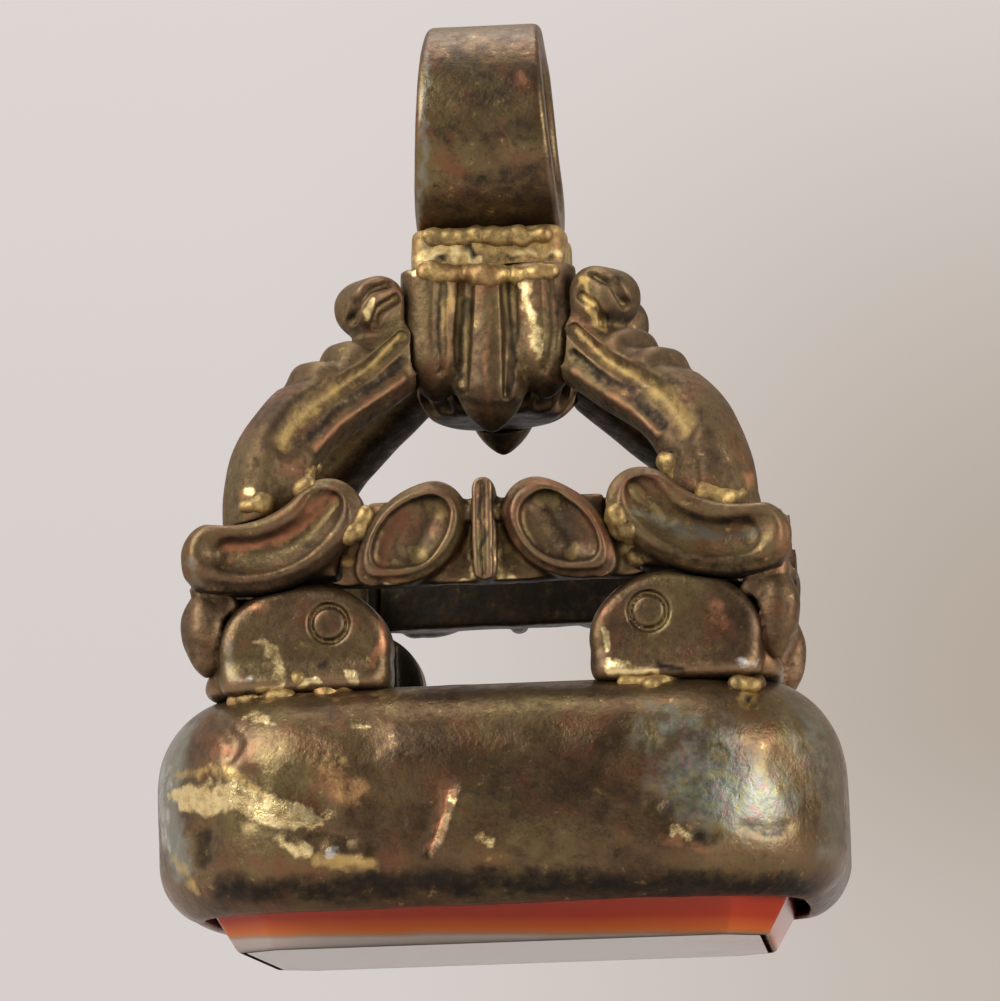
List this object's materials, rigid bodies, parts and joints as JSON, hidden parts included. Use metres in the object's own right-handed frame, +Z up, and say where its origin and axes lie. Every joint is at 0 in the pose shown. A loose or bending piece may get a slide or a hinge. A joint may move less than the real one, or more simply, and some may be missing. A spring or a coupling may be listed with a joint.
{
  "type": "wax seal stamp",
  "caption": "Fob-type wax seal stamp: bevelled agate matrix in a bulged brass collet under an openwork cage of scrolls, with a fixed strap loop on top.",
  "frame": {"origin": "centre of the stone's flat sealing face", "axes": "+Z up from the sealing face to the loop, +X along the long side of the base, -Y towards the front"},
  "size_m": [0.0252, 0.021, 0.0348],
  "materials": {
    "agate": "polished",
    "pitch": "matte",
    "collet_brass": "worn",
    "cage_brass": "worn",
    "loop_brass": "worn"
  },
  "bodies": {
    "root": {"arm_back_left": "cage_brass", "arm_back_right": "cage_brass", "arm_front_left": "cage_brass", "arm_front_right": "cage_brass", "back_band": "cage_brass", "back_palmette": "cage_brass", "collet": "collet_brass", "crown": "cage_brass", "deck_plate": "collet_brass", "foot_scroll_back_left": "cage_brass", "foot_scroll_back_right": "cage_brass", "foot_scroll_front_left": "cage_brass", "foot_scroll_front_right": "cage_brass", "front_band": "cage_brass", "front_palmette": "cage_brass", "knee_scroll_back_left": "cage_brass", "knee_scroll_back_right": "cage_brass", "knee_scroll_front_left": "cage_brass", "knee_scroll_front_right": "cage_brass", "leaf_drop_back_left": "cage_brass", "leaf_drop_back_right": "cage_brass", "leaf_drop_front_left": "cage_brass", "leaf_drop_front_right": "cage_brass", "left_band": "cage_brass", "loop_collar": "cage_brass", "right_band": "cage_brass", "seal_stone": "agate", "setting_cement": "pitch", "suspension_loop": "loop_brass"}
  },
  "joints": []
}
